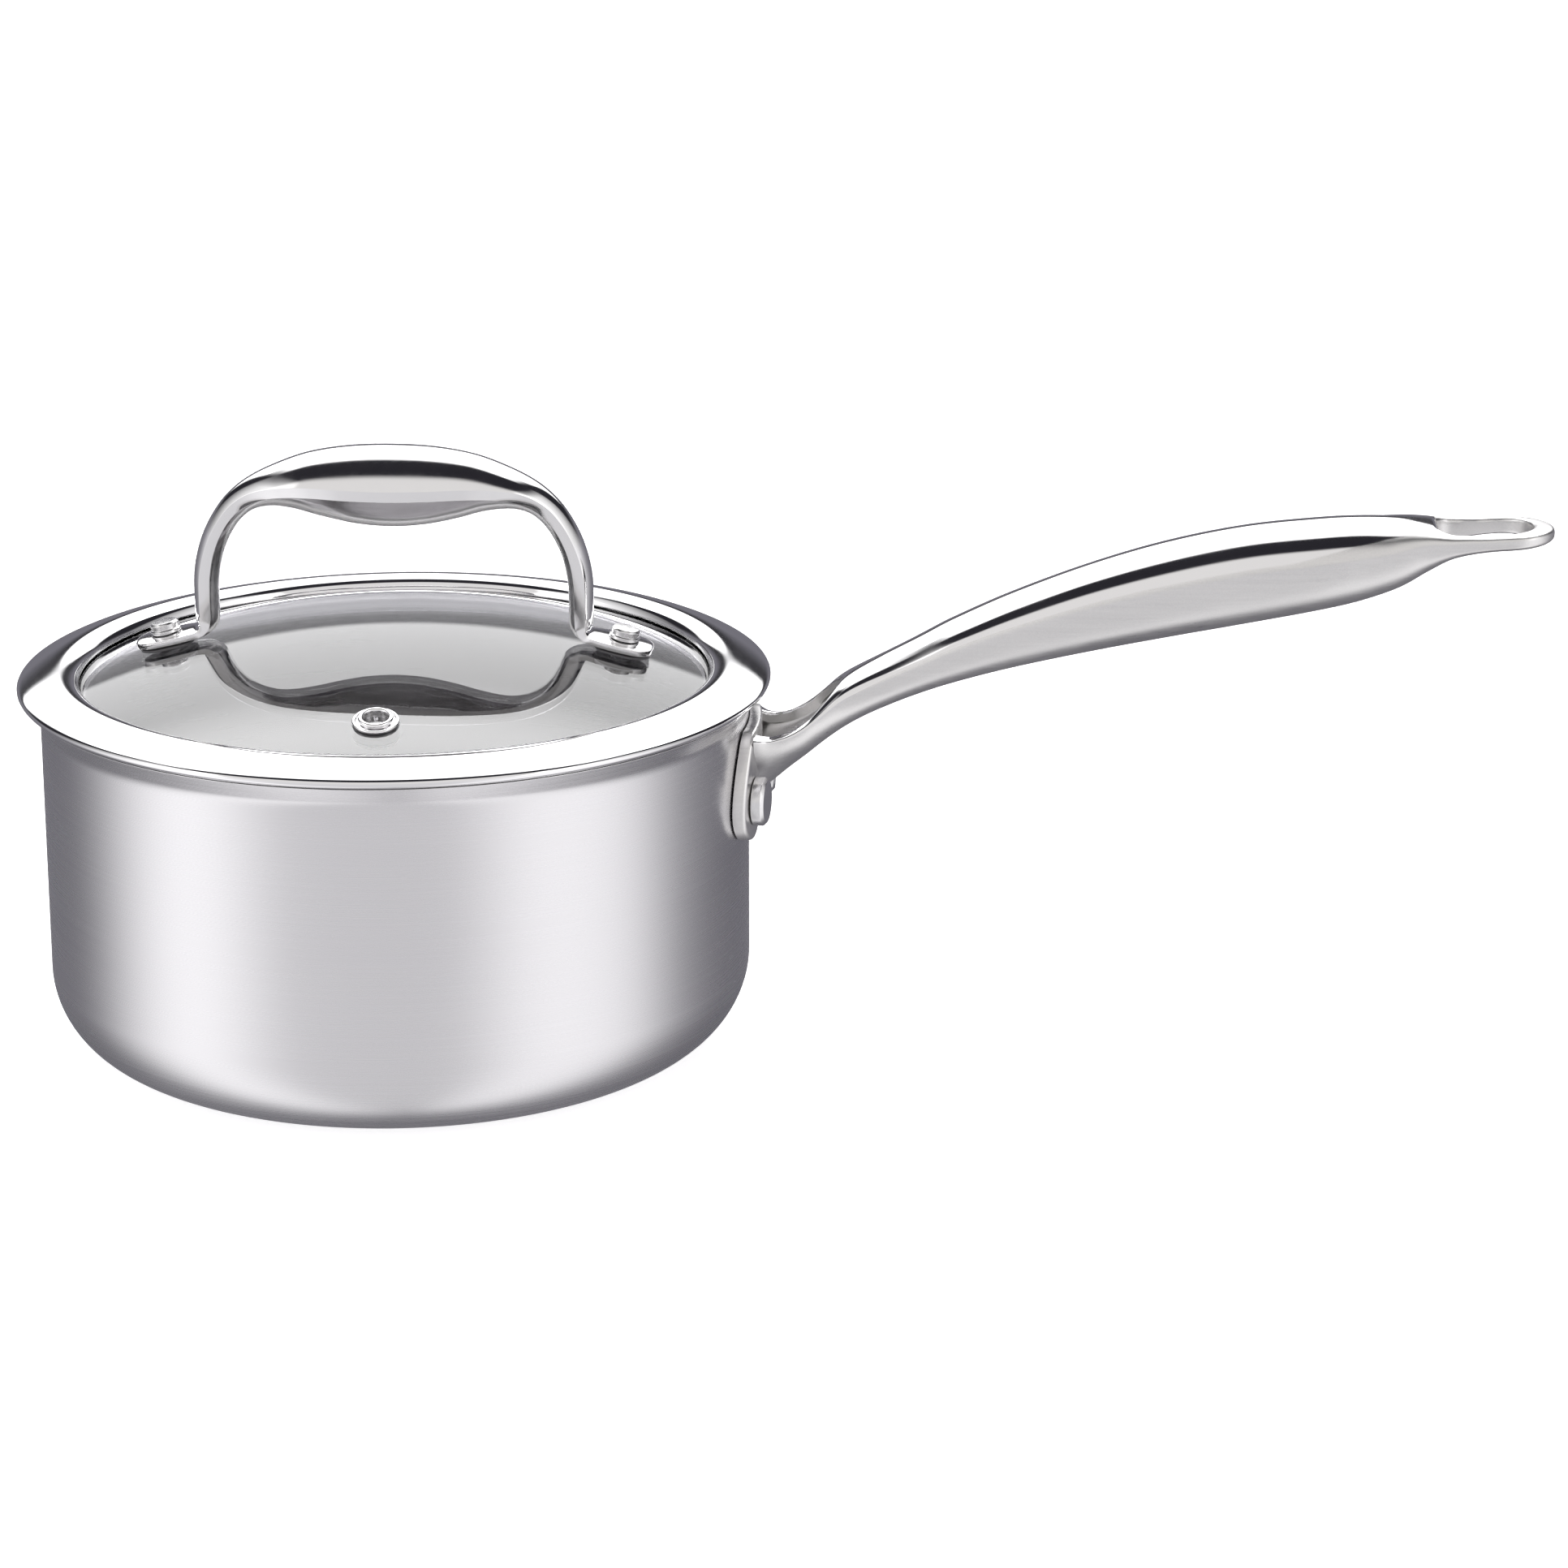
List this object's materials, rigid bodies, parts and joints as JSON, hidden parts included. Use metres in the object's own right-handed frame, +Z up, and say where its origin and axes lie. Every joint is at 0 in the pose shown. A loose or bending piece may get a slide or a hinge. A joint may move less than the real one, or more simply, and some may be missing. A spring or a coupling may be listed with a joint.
{
  "type": "saucepan with glass lid",
  "caption": "Straight-sided clad steel saucepan with a flared pouring rim, a long riveted hollow handle ending in a hanging loop, and a lift-off domed glass lid with bridge handle and vent.",
  "frame": {"origin": "centre of the pan's base, on the plane it stands on", "axes": "+Z up out of the pan, +X along the long handle, away from the pan"},
  "size_m": [0.3443, 0.1702, 0.1386],
  "materials": {
    "satin_steel": "fine circumferential satin brush, soft broad reflections",
    "aluminium_core": "matt clad core, seen only at the trimmed rim",
    "inner_steel": "satin inside, turned brush on the floor",
    "polished_steel": "mirror polish above, fine satin on the sides and underneath",
    "rim_steel": "mirror polish",
    "rivet_steel": "turned faces, tumbled edges",
    "washer_steel": "plain cold-rolled",
    "lid_glass": "clear tempered glass, very slightly cool",
    "silicone": "translucent grey silicone, matt"
  },
  "bodies": {
    "pan": {"pan_outer_ply": "satin_steel", "pan_core_ply": "aluminium_core", "pan_inner_ply": "inner_steel", "long_handle": "polished_steel", "handle_rivet_near": "rivet_steel", "handle_rivet_far": "rivet_steel"},
    "lid": {"lid_glass": "lid_glass", "lid_rim_band": "rim_steel", "lid_rim_seal": "silicone", "lid_handle": "polished_steel", "lid_rivet_left": "rivet_steel", "lid_rivet_right": "rivet_steel", "foot_gasket_left": "silicone", "foot_gasket_right": "silicone", "under_gasket_left": "silicone", "under_gasket_right": "silicone", "under_washer_left": "washer_steel", "under_washer_right": "washer_steel", "steam_vent_eyelet": "rim_steel", "steam_vent_grommet": "silicone", "steam_vent_washer": "washer_steel"}
  },
  "joints": [
    {"name": "lid_lift", "type": "slide", "parent": "pan", "child": "lid", "axis": [0, 0, 1], "range_m": [0, 0.1]}
  ]
}
